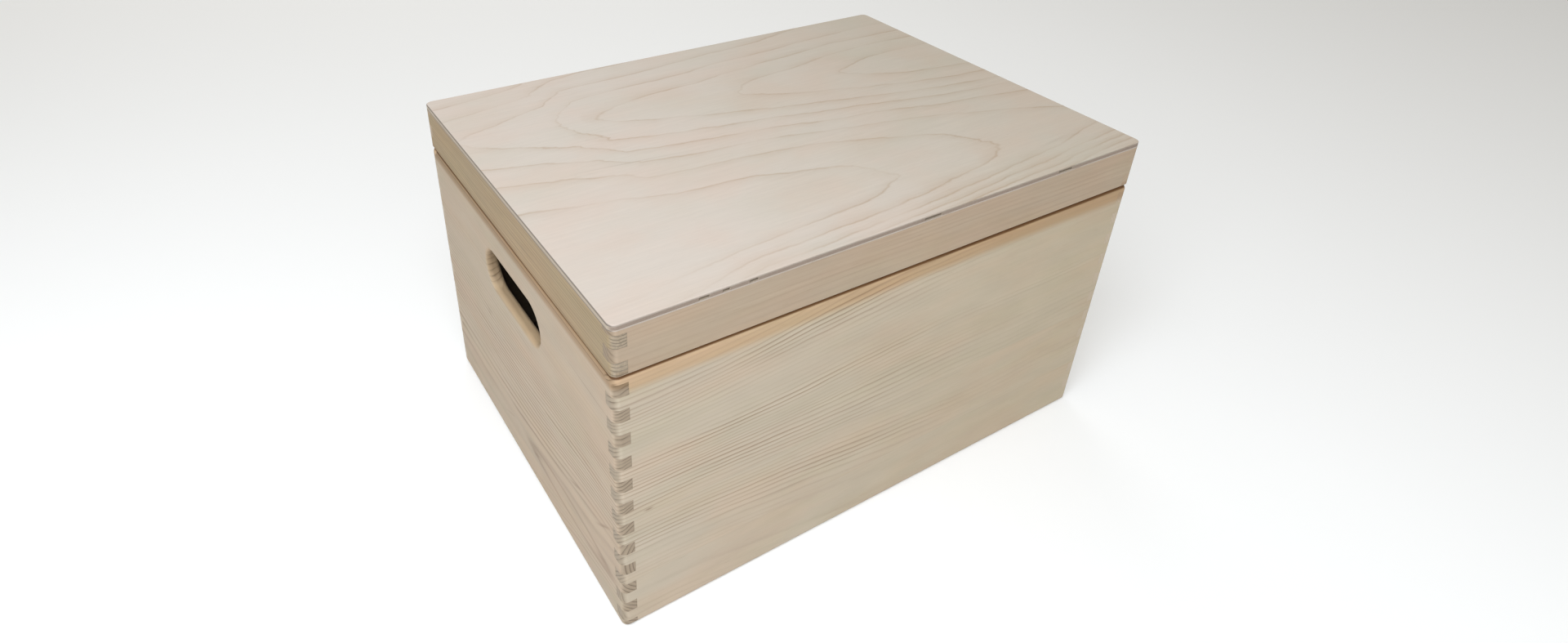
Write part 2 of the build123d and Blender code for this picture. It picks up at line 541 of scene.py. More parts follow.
@dataclass(frozen=True)
class PineFinish:
    """Sanded raw pine, cut from a trunk with rings round a pith. Lengths are in millimetres.

    pith is the pith's height and its place across the board, ring the width of a growth
    ring, faint how much it shows outside the bands and far_faint how much is left of
    that at the board's far end. fan is the height from which the rings spread along the
    board, and how much wider they are at its far end. glue_lines are the heights at which
    strips are glued edge to edge, and strip_step how far the pith moves from one strip to
    the next. hole is the middle height, half length and half height of a hand hole, round
    whose cut edge the wood is tinted warmer. end is the tint of end grain, end_rings the
    strength of the rings in it, drift a painted shade that darkens the board toward its
    far end, where less light falls, and streaky the contrast between neighbouring fibres.
    """

    grain: Grain
    pith: tuple[float, float]
    ring: float
    seed: float
    edge: Edge
    early: Colour = (0.462, 0.393, 0.306)
    late: Colour = (0.254, 0.190, 0.131)
    end: Colour = (0.70, 0.67, 0.63)
    end_rings: float = 1.0
    drift: Colour = (1.0, 1.0, 1.0)
    contrast: float = 0.95
    streaky: float = 0.08
    faint: float = 0.17
    far_faint: float = 1.0
    bands: tuple[Band, ...] = ()
    fan: tuple[float, float] = (0.0, 0.0)
    glue_lines: tuple[float, ...] = ()
    strip_step: tuple[float, float] = (60.0, 25.0)
    swirls: tuple[Swirl, ...] = ()
    flecks: tuple[Fleck | Eye, ...] = ()
    hole: tuple[float, float, float] | None = None

    def dress(self, name: str) -> bpy.types.Material:
        """Build the material.

        Args:
            name: The material's name.

        Returns:
            The material.
        """
        recipe = Recipe(name)
        x, y, z = recipe.place()
        along, deep = (x, y) if self.grain is Grain.ALONG_X else (y, x)
        strip, seam = self._strips(z)
        wider = along.spread(-190, 60, 1.0, 1.0 + self.fan[1])
        level = self.fan[0] + (z - self.fan[0]) / wider
        lane = strip * 7.3 + self.seed
        spot = Spot(recipe, x, y, z, along, deep, level, strip, lane)
        rings = self._rings(spot).fraction()
        late = recipe.node("ShaderNodeValToRGB", {"stops": RING}, {0: rings})
        fibre = recipe.noise(along / 11, z / 0.5, deep / 0.5 + lane, 3.0, 0.65)
        streaks = recipe.noise(along / 70, z / 1.6, deep / 1.6 + lane, 2.0, 0.6)
        seen = self._seen(spot)
        colour = recipe.blend(late * seen * self.contrast, self.early, self.late)
        colour = recipe.scaled(colour, 0.97 + 0.08 * seen)
        colour = self._tone(spot, colour)
        colour = self._end(spot, colour, late)
        # A warmer, darker tint on the wood round the hand hole's cut edge.
        if self.hole:
            colour = recipe.blend(self._cut(spot), colour, (1.02, 0.90, 0.72), "MULTIPLY")
        # The edge adds painted bounce light and shade, and the painted shadow of the parting gap.
        colour = self.edge.on(spot, colour)
        dark = recipe.specks(along / 16, z / 1.5 + lane, deep / 1.5, 0.22, 0.10) * 0.12
        for fleck in self.flecks:
            dark = dark + fleck.on(along, z)
        colour = recipe.blend(dark + seam * 0.12, colour, SCORCH, "MULTIPLY")
        shade = 0.955 - self.streaky / 2 + 0.09 * fibre + self.streaky * streaks
        roughness = 0.66 - 0.10 * late + 0.10 * (fibre - 0.5)
        relief = fibre * 0.6 + late * 0.4
        colour = recipe.scaled(colour, shade)
        return recipe.surface(colour, roughness, relief, 0.012 * MM, specular=0.35)

    def _strips(self, z: Wire) -> tuple[Value, Value]:
        """Which glued strip a point is in, and how near it is to a glue line.

        Args:
            z: Height.

        Returns:
            The strip's number and the nearness from 0 to 1.
        """
        strip: Value = 0.0
        seam: Value = 0.0
        for line in self.glue_lines:
            strip = strip + (z > line)
            seam = seam + ((z - line) / GLUE_LINE).bell()
        return strip, seam

    def _rings(self, spot: Spot) -> Wire:
        """The number of growth rings between the pith and a point.

        Args:
            spot: Where the point is.

        Returns:
            The number of rings.
        """
        along, level, deep, lane = spot.along, spot.level, spot.deep, spot.lane
        noise = spot.recipe.noise
        drift = noise(along / 130, level / 30 + lane, deep / 30, 1.0) - 0.5
        ripple = noise(along / 26, level / 7, deep / 7 + lane, 2.0) - 0.5
        rise = level - self.pith[0] + spot.strip * self.strip_step[0] + drift * 7 + ripple * 1.6
        depth = deep - self.pith[1] + spot.strip * self.strip_step[1]
        radius = rise.across(depth)
        rings = radius / self.ring + noise(radius / 16, lane, 0.5, 1.0) * 2.0
        for swirl in self.swirls:
            rings = rings + swirl.on(along, level)
        return rings

    def _seen(self, spot: Spot) -> Wire:
        """How much the rings stand out at a point of the face.

        Args:
            spot: Where the point is.

        Returns:
            The strength, from about 0 to 1.
        """
        seen: Value = self.faint
        for band in self.bands:
            seen = seen + band.on(spot.level)
        patchy = spot.recipe.noise(spot.along / 90, spot.level / 9 + spot.lane, 3.3, 2.0)
        fading = spot.along.spread(-60, 90, 1.0, self.far_faint)
        return patchy.spread(0.30, 0.62, 0.35, 1.1) * seen * fading

    def _tone(self, spot: Spot, colour: Wire) -> Wire:
        """Let the colour wander between pinker, greener and lighter wood.

        Args:
            spot: Where the point is.
            colour: The colour so far.

        Returns:
            The varied colour.
        """
        recipe, along, deep, z, lane = spot.recipe, spot.along, spot.deep, spot.z, spot.lane
        pink = recipe.noise(along / 95, z / 26 + lane, deep / 60, 3.0).spread(0.35, 0.7, 0.0, 0.8)
        green = recipe.noise(along / 60, z / 18, deep / 40 + lane, 3.0)
        green = green.spread(0.4, 0.75, 0.0, 0.6)
        colour = recipe.blend(pink, colour, (1.03, 0.955, 0.92), "MULTIPLY")
        colour = recipe.blend(green, colour, (0.955, 0.975, 0.92), "MULTIPLY")
        # Painted shade: the board darkens toward its far end, where less light falls.
        colour = recipe.blend(along.spread(-190, 200), colour, self.drift, "MULTIPLY")
        cloud = recipe.noise(along / 45, z / 12, deep / 30 + lane, 3.0, 0.55)
        return recipe.scaled(colour, cloud.spread(0.25, 0.75, 0.965, 1.035))

    def _end(self, spot: Spot, colour: Wire, late: Wire) -> Wire:
        """Darken what is cut across the fibres, and show its rings and pores.

        Args:
            spot: Where the point is.
            colour: The colour so far.
            late: How much of a ring is late wood.

        Returns:
            The colour with its end grain.
        """
        recipe, along, deep, z = spot.recipe, spot.along, spot.deep, spot.z
        pores = recipe.noise(along / 0.6, z / 0.45, deep / 0.45, 1.0)
        patch = recipe.noise(along / 8, z / 9, deep / 9, 2.0)
        rings = late * patch.spread(0.3, 0.6, 0.35, 1.0) * self.end_rings
        cut = recipe.blend(rings, self.early, self.late)
        cut = recipe.blend(1.0, cut, self.end, "MULTIPLY")
        cut = recipe.scaled(cut, 0.90 + 0.16 * pores - 0.12 * rings + 0.10 * patch)
        return recipe.blend(recipe.end_grain().spread(0.25, 0.85), colour, cut)

    def _cut(self, spot: Spot) -> Wire:
        """How near a point is to the cut edge of the hand hole.

        Args:
            spot: Where the point is.

        Returns:
            The nearness, nothing a few millimetres from the hole.
        """
        middle, half_length, half_height = self.hole
        side = (abs(spot.along) - (half_length - half_height)).at_least(0.0)
        away = side.across(spot.z - middle) - half_height
        return away.spread(0.3, 3.2, 0.9, 0.0)


@dataclass(frozen=True)
class VeneerFinish:
    """A sliced face veneer whose rings run out in nested loops. Lengths are in millimetres.

    The loops close toward +X on one line along the sheet, the valley, and toward -X on
    another, the ridge, which slopes. rise is the number of rings between the two, lower
    how much closer they lie below the valley, and pointed the part of rise that goes
    into the points of the loops. valley_rings and ridge_rings are (x, rings) stops met
    along the two lines, drift is a painted shade that darkens the sheet toward its +X
    end, where less light falls, and quiet the middle and radius of a patch in which the
    lines fade.
    """

    valley: float
    ridge: float
    ridge_slope: float
    rise: float
    lower: float
    pointed: float
    valley_rings: tuple[tuple[float, float], ...]
    ridge_rings: tuple[tuple[float, float], ...]
    seed: float
    early: Colour = (0.552, 0.488, 0.430)
    late: Colour = (0.355, 0.245, 0.150)
    end: Colour = (0.20, 0.165, 0.135)
    drift: Colour = (1.0, 1.0, 1.0)
    contrast: float = 0.50
    line: float = 0.6
    quiet: tuple[float, float, float] | None = None
    flecks: tuple[Fleck, ...] = ()

    def dress(self, name: str) -> bpy.types.Material:
        """Build the material.

        Args:
            name: The material's name.

        Returns:
            The material.
        """
        recipe = Recipe(name)
        x, y, z = recipe.place()
        line, shadow = self._lines(x, y)
        seen = recipe.noise(x / 60, y / 30 + self.seed, 5.1, 2.0).spread(0.32, 0.62, 0.25, 1.0)
        if self.quiet:
            away = (x - self.quiet[0]).across(y - self.quiet[1]) / self.quiet[2]
            seen = seen * (1.0 - 0.85 * away.bell())
        fine = recipe.noise(x / 60, y / 2.2 + self.seed, 0.2, 3.0, 0.6)
        fibre = recipe.noise(x / 9, y / 0.6, z / 0.6, 2.0, 0.6)
        mark = (line * 0.70 + shadow * 0.30) * seen * self.contrast
        colour = recipe.blend(mark, self.early, self.late)
        # Painted shade: the sheet darkens toward +X, where less light falls.
        colour = recipe.blend(x.spread(-150, 210), colour, self.drift, "MULTIPLY")
        cloud = recipe.noise(x / 55, y / 38 + self.seed, 2.2, 3.0).spread(0.35, 0.7, 0.0, 0.8)
        colour = recipe.blend(cloud, colour, (1.02, 0.955, 0.93), "MULTIPLY")
        grey = recipe.noise(x / 90 + 4.4, y / 50 + self.seed, 7.2, 3.0).spread(0.4, 0.7, 0.0, 0.8)
        colour = recipe.blend(grey, colour, (0.95, 0.965, 0.94), "MULTIPLY")
        dark = recipe.specks(x / 9, y / 1.3 + self.seed, 0.1, 0.24, 0.14) * 0.07
        for fleck in self.flecks:
            dark = dark + fleck.on(x, y)
        colour = recipe.blend(dark, colour, SCORCH, "MULTIPLY")
        shade = 0.905 + 0.12 * fine + 0.07 * fibre
        colour = recipe.blend(recipe.end_grain().spread(0.3, 0.8), colour, self.end)
        relief = fibre * 0.7 + fine * 0.3
        roughness = 0.62 + 0.12 * (fine - 0.5) - 0.05 * line
        colour = recipe.scaled(colour, shade)
        return recipe.surface(colour, roughness, relief, 0.010 * MM, specular=0.35)

    def _lines(self, x: Wire, y: Wire) -> tuple[Wire, Wire]:
        """The dark lines of late wood, as thin where the rings lie far apart as where close.

        Args:
            x: Place along the sheet.
            y: Place across it.

        Returns:
            The line and the soft shadow that leads to it.
        """
        noise = x.recipe.noise
        wander = noise(x / 90, y / 34 + self.seed, 0.3, 1.0) - 0.5
        ripple = noise(x / 22, y / 12 + self.seed, 0.7, 4.0, 0.6) - 0.5
        kink = noise(x / 30, y / 14, 8.1 + self.seed, 3.0, 0.6) - 0.5
        along = x + kink * 22
        across = y + wander * 8 + ripple * 4.0
        step = 1.5
        here = self._field(along, across)
        slope_x = (self._field(along + step, across) - here) / step
        slope_y = (self._field(along, across + step) - here) / step
        steep = slope_x.across(slope_y) + 0.006
        away = (here.fraction() - 0.5) / steep
        line = (away / self.line).bell()
        shadow = away.spread(-8.0, 0.0) - away.spread(0.0, 1.4)
        return line, shadow

    def _field(self, x: Wire, y: Wire) -> Wire:
        """The number of the ring at a point.

        Args:
            x: Place along the sheet.
            y: Place across it.

        Returns:
            The number.
        """
        part = (y - self.valley) / (self.ridge - self.valley + x * self.ridge_slope)
        part = part.at_least(part * -self.lower)
        turn = (0.5 - 0.5 * (part * math.pi).cosine()) ** 1.9
        point = 1.0 - ((1.0 - part) * (1.0 - part) + 0.001) ** 0.5
        low = self._stops(x, self.valley_rings)
        high = self._stops(x, self.ridge_rings)
        rings = low + (high - low) * part.spread(0.15, 0.85)
        return rings + turn * (self.rise - self.pointed) + point * self.pointed

    @staticmethod
    def _stops(x: Wire, rings: tuple[tuple[float, float], ...]) -> Wire:
        """A smooth run of ring numbers along the sheet.

        Args:
            x: Place along the sheet.
            rings: (x, rings) stops, with the rings from -3 to 7.

        Returns:
            The ring number.
        """
        stops = [((place + 200) / 400, (count + 3) / 10) for place, count in rings]
        settings = {"stops": stops, "smooth": "CARDINAL"}
        return x.recipe.node("ShaderNodeValToRGB", settings, {0: (x + 200) / 400}) * 10 - 3


@dataclass(frozen=True)
class CoreFinish:
    """The cross-laid veneer inside plywood: dark broken end grain and paler long edges."""

    long_edge: Colour
    cut_edge: Colour
    seed: float

    def dress(self, name: str) -> bpy.types.Material:
        """Build the material.

        Args:
            name: The material's name.

        Returns:
            The material.
        """
        recipe = Recipe(name)
        x, y, z = recipe.place()
        cut = recipe.end_grain()
        broken = recipe.noise(x / 1.1 + self.seed, y / 5, z / 0.7, 3.0, 0.7)
        slow = recipe.noise(x / 22, y / 22, self.seed, 2.0)
        colour = recipe.blend(cut.spread(0.2, 0.8), self.long_edge, self.cut_edge)
        shade = 0.72 + 0.34 * broken + 0.26 * slow
        return recipe.surface(recipe.scaled(colour, shade), 0.8, broken, 0.05 * MM, specular=0.25)


@dataclass(frozen=True)
class MetalFinish:
    """Plated or bare metal with a drawn surface, fine scratches and dulled patches."""

    bright: Colour
    dull: Colour
    seed: float
    roughness: float = 0.30

    def dress(self, name: str) -> bpy.types.Material:
        """Build the material.

        Args:
            name: The material's name.

        Returns:
            The material.
        """
        recipe = Recipe(name)
        x, y, z = recipe.place()
        drawn = recipe.noise(x / 9 + self.seed, y / 0.12, z / 0.12, 2.0)
        stain = recipe.noise(x / 5, y / 5, z / 5 + self.seed, 3.0, 0.6).spread(0.42, 0.72)
        pits = recipe.specks(x / 0.9, y / 0.9, z / 0.9 + self.seed, 0.2, 0.12)
        colour = recipe.blend(stain * 0.35 + pits * 0.4, self.bright, self.dull)
        roughness = self.roughness + 0.16 * stain + 0.10 * (drawn - 0.5) + 0.2 * pits
        relief = drawn * 0.5 - pits * 0.5
        return recipe.surface(colour, roughness, relief, 0.006 * MM, metallic=1.0)


@dataclass(frozen=True)
class FloorFinish:
    """Plain pale painted floor."""

    colour: Colour = (0.95, 0.95, 0.95)

    def dress(self, name: str) -> bpy.types.Material:
        """Build the material."""
        return Recipe(name).surface(self.colour, 0.9, specular=0.1)


# Bench work


def pick(piece: bpy.types.Object) -> None:
    """Select one object alone and make it active.

    Args:
        piece: The object.
    """
    bpy.ops.object.select_all(action="DESELECT")
    piece.select_set(True)
    bpy.context.view_layer.objects.active = piece


def keep(piece: bpy.types.Object, kind: str, **settings: Any) -> None:
    """Add a modifier and apply it.

    Args:
        piece: The object.
        kind: The modifier's type.
        settings: Its properties.
    """
    pick(piece)
    modifier = piece.modifiers.new(kind.title(), kind)
    for key, value in settings.items():
        setattr(modifier, key, value)
    bpy.ops.object.modifier_apply(modifier=modifier.name)


def soften(piece: bpy.types.Object, arris: float, segments: int = 2) -> None:
    """Take a fine arris off every sharp edge and shade the piece smoothly over it.

    Args:
        piece: The object.
        arris: Width of the softened edge, in metres.
        segments: Facets across it.
    """
    keep(
        piece,
        "BEVEL",
        width=arris,
        segments=segments,
        limit_method="ANGLE",
        angle_limit=math.radians(40),
        use_clamp_overlap=False,
    )
    pick(piece)
    bpy.ops.object.shade_smooth()
    keep(piece, "WEIGHTED_NORMAL", mode="FACE_AREA", weight=100, keep_sharp=False)


def finished_copy(node: str, arris: float) -> bpy.types.Object:
    """Copy a node, merge its loose triangles into whole faces and soften its edges.

    Args:
        node: The node's name.
        arris: Width of the softened edges, in metres.

    Returns:
        The new piece.
    """
    piece = bpy.data.objects.new(f"{node}_finished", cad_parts[node].data.copy())
    bpy.context.scene.collection.objects.link(piece)
    piece.data.materials.clear()
    pick(piece)
    bpy.ops.mesh.customdata_custom_splitnormals_clear()
    bpy.ops.object.mode_set(mode="EDIT")
    bpy.ops.mesh.select_all(action="SELECT")
    bpy.ops.mesh.remove_doubles(threshold=0.002 * MM)
    bpy.ops.mesh.dissolve_limited(angle_limit=math.radians(0.3))
    bpy.ops.object.mode_set(mode="OBJECT")
    soften(piece, arris)
    return piece


def mark_end_grain(piece: bpy.types.Object, grain: Grain, side: float = 0.0) -> None:
    """Store on every corner how squarely the fibres are cut there.

    Args:
        piece: The object.
        grain: The way its fibres run.
        side: What an upright face counts as at least, for a sheet with dull edges.
    """
    mesh = piece.data
    cut = mesh.attributes.new(END_GRAIN, "FLOAT", "CORNER")
    values = []
    for normal in (corner.vector for corner in mesh.corner_normals):
        values.append(max(abs(normal.dot(grain.direction)), side * normal.xy.length))
    cut.data.foreach_set("value", values)


def hand_over(
    piece: bpy.types.Object, node: str, material: bpy.types.Material, body: str
) -> None:
    """Put a dressed piece in a node's place.

    Args:
        piece: The object.
        node: The node that it stands for.
        material: Its material.
        body: The rigid body that it moves with.
    """
    piece.data.materials.clear()
    piece.data.materials.append(material)
    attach(piece, body)
    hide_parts(node)
    triangles = sum(len(face.vertices) - 2 for face in piece.data.polygons)
    log.info("%s: %d triangles, on %s", piece.name, triangles, body)


def slab(name: str, low: Vector, high: Vector, corner: float) -> bpy.types.Object:
    """A flat plate with rounded upright corners.

    Args:
        name: The object's name.
        low: Its lowest corner.
        high: Its highest corner.
        corner: Radius of the upright corners.

    Returns:
        The plate.
    """
    bpy.ops.object.select_all(action="DESELECT")
    bpy.ops.mesh.primitive_cube_add(size=1, location=(low + high) / 2)
    piece = bpy.context.object
    piece.name = name
    piece.scale = high - low
    bpy.ops.object.transform_apply(location=True, rotation=True, scale=True)
    bpy.ops.object.mode_set(mode="EDIT")
    half = (high - low).z / 2
    choose(piece, Part.EDGE, lambda edge: abs(edge.verts[0].co.z - edge.verts[1].co.z) > half)
    bpy.ops.mesh.bevel(offset=corner, segments=10, affect="EDGES", profile=0.5)
    bpy.ops.object.mode_set(mode="OBJECT")
    return piece


def choose(piece: bpy.types.Object, part: Part, test: Callable[[Any], bool]) -> None:
    """In edit mode, select only the edges or the faces that pass a test.

    Args:
        piece: The object.
        part: What to select.
        test: True for an edge or a face that is wanted.
    """
    bpy.ops.mesh.select_all(action="DESELECT")
    bpy.ops.mesh.select_mode(type=part.name)
    shape = bmesh.from_edit_mesh(piece.data)
    for element in getattr(shape, part.value):
        element.select_set(test(element))
    if part is Part.EDGE:
        shape.select_flush_mode()
    bmesh.update_edit_mesh(piece.data)


# Sub-assemblies


@dataclass
class Board:
    """One board or rail with its own piece of wood."""

    node: str
    body: str
    finish: PineFinish
    arris: float = 0.12 * MM

    def build(self) -> None:
        """Make the board and dress it."""
        piece = finished_copy(self.node, self.arris)
        mark_end_grain(piece, self.finish.grain)
        hand_over(piece, self.node, self.finish.dress(f"{self.node}_pine"), self.body)


@dataclass
class PlywoodTop:
    """The lid's plywood: two face veneers over a cross-laid core with gaps in its edge.

    gaps are (start, end) along the front and back edges of the core, from the middle.
    """

    node: str = "lid_top_panel"
    body: str = "lid"
    corner: float = 4.5 * MM
    ease: float = 0.8 * MM
    back_veneer: float = 0.8 * MM
    core: float = 2.1 * MM
    gap_depth: float = 3.0 * MM
    gap_inset: float = 0.25 * MM
    arris: float = 0.05 * MM
    front_gaps: tuple[tuple[float, float], ...] = (
        (-0.1508, -0.1438),
        (-0.1365, -0.1315),
        (-0.1200, -0.1140),
        (0.002, 0.016),
        (0.117, 0.131),
    )
    back_gaps: tuple[tuple[float, float], ...] = ((-0.092, -0.070), (0.036, 0.049))

    def build(self, face: VeneerFinish, back: VeneerFinish, core: CoreFinish) -> None:
        """Make the three veneers and dress them.

        Args:
            face: Finish of the upper veneer.
            back: Finish of the lower veneer.
            core: Finish of the core.
        """
        low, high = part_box(self.node)
        core_low = low.z + self.back_veneer
        core_high = core_low + self.core
        lower = self._sheet("lid_back_veneer", low, Vector((high.x, high.y, core_low)), 0.0)
        middle = self._core(Vector((low.x, low.y, core_low)), Vector((high.x, high.y, core_high)))
        upper = self._sheet("lid_face_veneer", Vector((low.x, low.y, core_high)), high, self.ease)
        for piece, finish, grain, dull in (
            (lower, back, Grain.ALONG_X, 0.5),
            (middle, core, Grain.ALONG_Y, 0.0),
            (upper, face, Grain.ALONG_X, 0.6),
        ):
            soften(piece, self.arris, 1)
            mark_end_grain(piece, grain, dull)
            material = finish.dress(f"{piece.name}_finish")
            hand_over(piece, self.node, material, self.body)

    def _sheet(self, name: str, low: Vector, high: Vector, ease: float) -> bpy.types.Object:
        """One face veneer.

        Args:
            name: The object's name.
            low: Its lowest corner.
            high: Its highest corner.
            ease: Rounding of its upper edge.

        Returns:
            The veneer.
        """
        piece = slab(name, low, high, self.corner)
        if ease:
            bpy.ops.object.mode_set(mode="EDIT")
            near = high.z - 0.01 * MM
            choose(piece, Part.EDGE, lambda edge: all(v.co.z > near for v in edge.verts))
            bpy.ops.mesh.bevel(offset=ease, segments=4, affect="EDGES", profile=0.5)
            bpy.ops.object.mode_set(mode="OBJECT")
        return piece

    def _core(self, low: Vector, high: Vector) -> bpy.types.Object:
        """The core, with gaps sunk into its front and back edges.

        Args:
            low: Its lowest corner.
            high: Its highest corner.

        Returns:
            The core.
        """
        piece = slab("lid_core_veneer", low, high, self.corner)
        bpy.ops.object.mode_set(mode="EDIT")
        for side, gaps in ((-1, self.front_gaps), (1, self.back_gaps)):
            for start, end in gaps:
                self._sink(piece, side, start, end)
        bpy.ops.object.mode_set(mode="OBJECT")
        return piece

    def _sink(self, piece: bpy.types.Object, side: int, start: float, end: float) -> None:
        """Sink one gap into the core's edge.

        Args:
            piece: The core, in edit mode.
            side: -1 for the front edge and 1 for the back.
            start: Where the gap starts along the edge.
            end: Where it ends.
        """
        for place in (start, end):
            bpy.ops.mesh.select_all(action="SELECT")
            bpy.ops.mesh.bisect(plane_co=(place, 0, 0), plane_no=(1, 0, 0))
        middle = (start + end) / 2
        choose(
            piece,
            Part.FACE,
            lambda shape: shape.normal.y * side > 0.99
            and abs(shape.calc_center_median().x - middle) < (end - start) / 2,
        )
        bpy.ops.mesh.inset(thickness=self.gap_inset)
        bpy.ops.mesh.extrude_region_move(
            TRANSFORM_OT_translate={"value": (0, -side * self.gap_depth, 0)}
        )


@dataclass
class Fitting:
    """A small metal piece: a finished copy of its node."""

    node: str
    body: str
    slot: str
    finish: MetalFinish
    arris: float = 0.08 * MM

    def build(self) -> None:
        """Make the fitting and dress it."""
        piece = finished_copy(self.node, self.arris)
        material = self.finish.dress(f"{self.node}_metal")
        hand_over(piece, self.node, material, self.body)


@dataclass
class ButtHinge:
    """One hinge with its leaves, pin and screws."""

    name: str
    seed: float
    bright: Colour = (0.74, 0.54, 0.24)
    dull: Colour = (0.46, 0.33, 0.15)
    pin_dull: Colour = (0.30, 0.22, 0.12)

    def build(self) -> None:
        """Make the hinge's pieces."""
        plated = MetalFinish(self.bright, self.dull, self.seed)
        worn = MetalFinish(self.dull, self.pin_dull, self.seed + 3, 0.38)
        for part, body, finish in (
            ("body_leaf", "box", plated),
            ("lid_leaf", "lid", plated),
            ("pin", "box", worn),
            ("body_screws", "box", plated),
            ("lid_screws", "lid", plated),
        ):
            Fitting(f"{self.name}_{part}", body, "brass", finish).build()


@dataclass
class Bottom:
    """The plywood bottom and its brads. Its face shows inside the box and underneath."""

    node: str = "bottom_panel"
    body: str = "box"
    arris: float = 0.08 * MM
    bright: Colour = (0.62, 0.62, 0.63)
    dull: Colour = (0.33, 0.31, 0.29)

    def build(self, finish: VeneerFinish) -> None:
        """Dress the bottom and make its brads.

        Args:
            finish: The face veneers' finish.
        """
        piece = finished_copy(self.node, self.arris)
        mark_end_grain(piece, Grain.ALONG_X)
        hand_over(piece, self.node, finish.dress("bottom_veneer"), self.body)
        wire = MetalFinish(self.bright, self.dull, 9.1, 0.35)
        Fitting("bottom_brads", self.body, "steel", wire).build()


@dataclass
class Studio:
    """A pale floor, soft light from all round and a camera over the near left corner.

    Lengths are in metres. The camera looks at a point inside the box, and rolls a little.
    """

    eye: Vector
    aim: Vector
    roll: float = 1.81
    lens: float = 20.8
    shift: tuple[float, float] = (0.0379, -0.0634)
    floor_side: float = 16.0

    def build(self) -> None:
        """Make the floor, the lights and the camera."""
        self._floor()
        self._lights()
        self._camera()

    def _floor(self) -> None:
        """A wide plane under the box."""
        bpy.ops.object.select_all(action="DESELECT")
        bpy.ops.mesh.primitive_plane_add(size=self.floor_side, location=(0, 0, cad_bounds[0][2]))
        floor = bpy.context.object
        floor.name = "floor"
        bpy.ops.object.transform_apply(location=True, rotation=True, scale=True)
        floor.data.materials.append(FloorFinish().dress("pale_floor"))

    def _lights(self) -> None:
        """Even daylight, a soft lamp over the near left side and one more each way."""
        world = bpy.data.worlds.new("daylight")
        world.use_nodes = True
        background = world.node_tree.nodes["Background"]
        background.inputs["Color"].default_value = (1.0, 0.975, 0.91, 1.0)
        background.inputs["Strength"].default_value = 0.47
        bpy.context.scene.world = world
        self._lamp("key", Vector((-0.72, -0.62, 1.12)), 1.0, 18.0, (0.90, 0.96, 1.03))
        self._lamp("fill", Vector((0.3, -2.2, 1.0)), 1.8, 6.0, (1.0, 0.99, 0.97))
        self._lamp("back", Vector((0.5, 2.3, 1.5)), 2.0, 16.0, (1.0, 0.99, 0.97))

    def _lamp(self, name: str, place: Vector, size: float, power: float, colour: Colour) -> None:
        """A square soft lamp that points at the box.

        Args:
            name: Its name.
            place: Where it hangs.
            size: Its side.
            power: Its power in watts.
            colour: Its colour.
        """
        light = bpy.data.lights.new(name, "AREA")
        light.size = size
        light.energy = power
        light.color = colour
        lamp = bpy.data.objects.new(name, light)
        lamp.location = place
        lamp.rotation_euler = (self.aim - place).to_track_quat("-Z", "Y").to_euler()
        bpy.context.scene.collection.objects.link(lamp)

    def _camera(self) -> None:
        """The camera at its place, turned at its aim."""
        data = bpy.data.cameras.new("camera")
        data.lens = self.lens
        data.sensor_width = 36.0
        data.shift_x, data.shift_y = self.shift
        data.dof.use_dof = False
        data.clip_start = 0.01
        camera = bpy.data.objects.new("camera", data)
        turn = (self.aim - self.eye).to_track_quat("-Z", "Y").to_matrix().to_4x4()
        roll = Matrix.Rotation(math.radians(self.roll), 4, "Z")
        camera.matrix_world = Matrix.Translation(self.eye) @ turn @ roll
        bpy.context.scene.collection.objects.link(camera)
        bpy.context.scene.camera = camera


# The woods of this box

LEFT_EARLY = (0.440, 0.357, 0.267)
LEFT_LATE = (0.225, 0.160, 0.104)
RAIL_EARLY = (0.388, 0.306, 0.222)
RAIL_LATE = (0.270, 0.196, 0.132)
SIDE_RAIL_EARLY = (0.329, 0.247, 0.145)
SIDE_RAIL_LATE = (0.210, 0.150, 0.085)
FAR_END = (0.97, 0.94, 0.91)


def half_size() -> tuple[float, float]:
    """Half the box's length and depth, in millimetres."""
    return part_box("left_board")[0].x / -MM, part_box("front_board")[0].y / -MM


